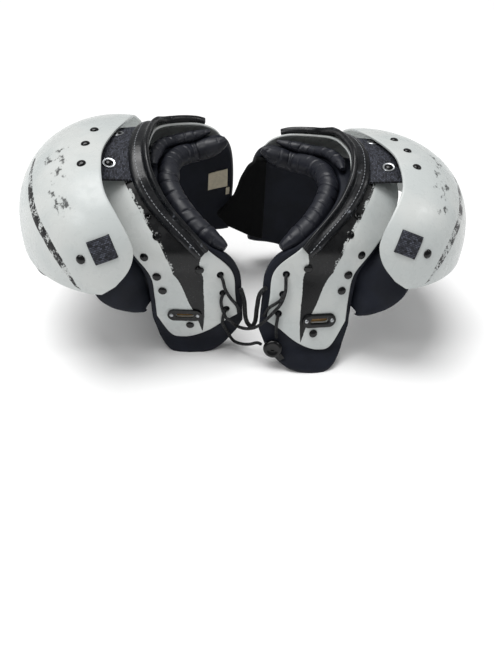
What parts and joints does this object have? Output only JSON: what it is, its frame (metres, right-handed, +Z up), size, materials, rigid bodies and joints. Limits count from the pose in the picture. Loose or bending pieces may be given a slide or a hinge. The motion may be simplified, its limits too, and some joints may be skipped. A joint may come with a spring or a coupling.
{
  "type": "football shoulder pad",
  "caption": "Football shoulder pad with white shell plates and caps over dark padding, black rails, webbing and a laced chest.",
  "frame": {"origin": "on the table, under the middle of the bounding box", "axes": "+Z up, -Y the chest side that faces the viewer, +X the wearer's left"},
  "size_m": [0.561, 0.3276, 0.2455],
  "materials": {
    "white_plastic": "satin, scuffed",
    "dark_cloth": "smooth coated cloth over foam",
    "black_vinyl": "worn vinyl",
    "black_webbing": "woven",
    "black_metal": "gloss black",
    "cream_cloth": "printed label cloth, left blank"
  },
  "bodies": {
    "root": {"back_overlap": "dark_cloth", "belt_plate_left": "black_metal", "belt_plate_right": "black_metal", "body_pad_left": "dark_cloth", "body_pad_right": "dark_cloth", "body_plate_left": "white_plastic", "body_plate_right": "white_plastic", "cap_pad_left": "dark_cloth", "cap_pad_right": "dark_cloth", "cap_rivet_back_left": "black_metal", "cap_rivet_back_right": "black_metal", "cap_rivet_front_left": "black_metal", "cap_rivet_front_right": "black_metal", "cap_rivet_lobe_left": "black_metal", "cap_rivet_lobe_right": "black_metal", "cap_rivet_middle_left": "black_metal", "cap_rivet_middle_right": "black_metal", "cap_strap_left": "black_webbing", "cap_strap_right": "black_webbing", "care_label": "cream_cloth", "care_tag": "cream_cloth", "collar_band_left": "black_vinyl", "collar_band_right": "black_vinyl", "lace_cross": "black_webbing", "lace_lock": "black_metal", "lace_lower": "black_webbing", "lace_middle_left": "black_webbing", "lace_tail": "black_webbing", "lace_upper_right": "black_webbing", "neck_rail_left": "black_vinyl", "neck_rail_right": "black_vinyl", "neck_roll_left": "black_vinyl", "neck_roll_right": "black_vinyl", "plate_eyelet_left": "black_metal", "plate_eyelet_right": "black_metal", "plate_rivet_arm_high_left": "black_metal", "plate_rivet_arm_high_right": "black_metal", "plate_rivet_arm_low_left": "black_metal", "plate_rivet_arm_low_right": "black_metal", "plate_rivet_arm_mid_left": "black_metal", "plate_rivet_arm_mid_right": "black_metal", "plate_rivet_chest_left": "black_metal", "plate_rivet_chest_right": "black_metal", "plate_rivet_hem_left": "black_metal", "plate_rivet_hem_right": "black_metal", "plate_rivet_rail_left": "black_metal", "plate_rivet_rail_right": "black_metal", "shoulder_cap_left": "white_plastic", "shoulder_cap_right": "white_plastic", "shoulder_web_left": "black_webbing", "shoulder_web_right": "black_webbing", "side_pad_left": "dark_cloth", "side_pad_right": "dark_cloth", "throat_loop": "black_webbing", "web_rivet_back_left": "black_metal", "web_rivet_back_right": "black_metal", "web_rivet_front_left": "black_metal", "web_rivet_front_right": "black_metal"}
  },
  "joints": []
}
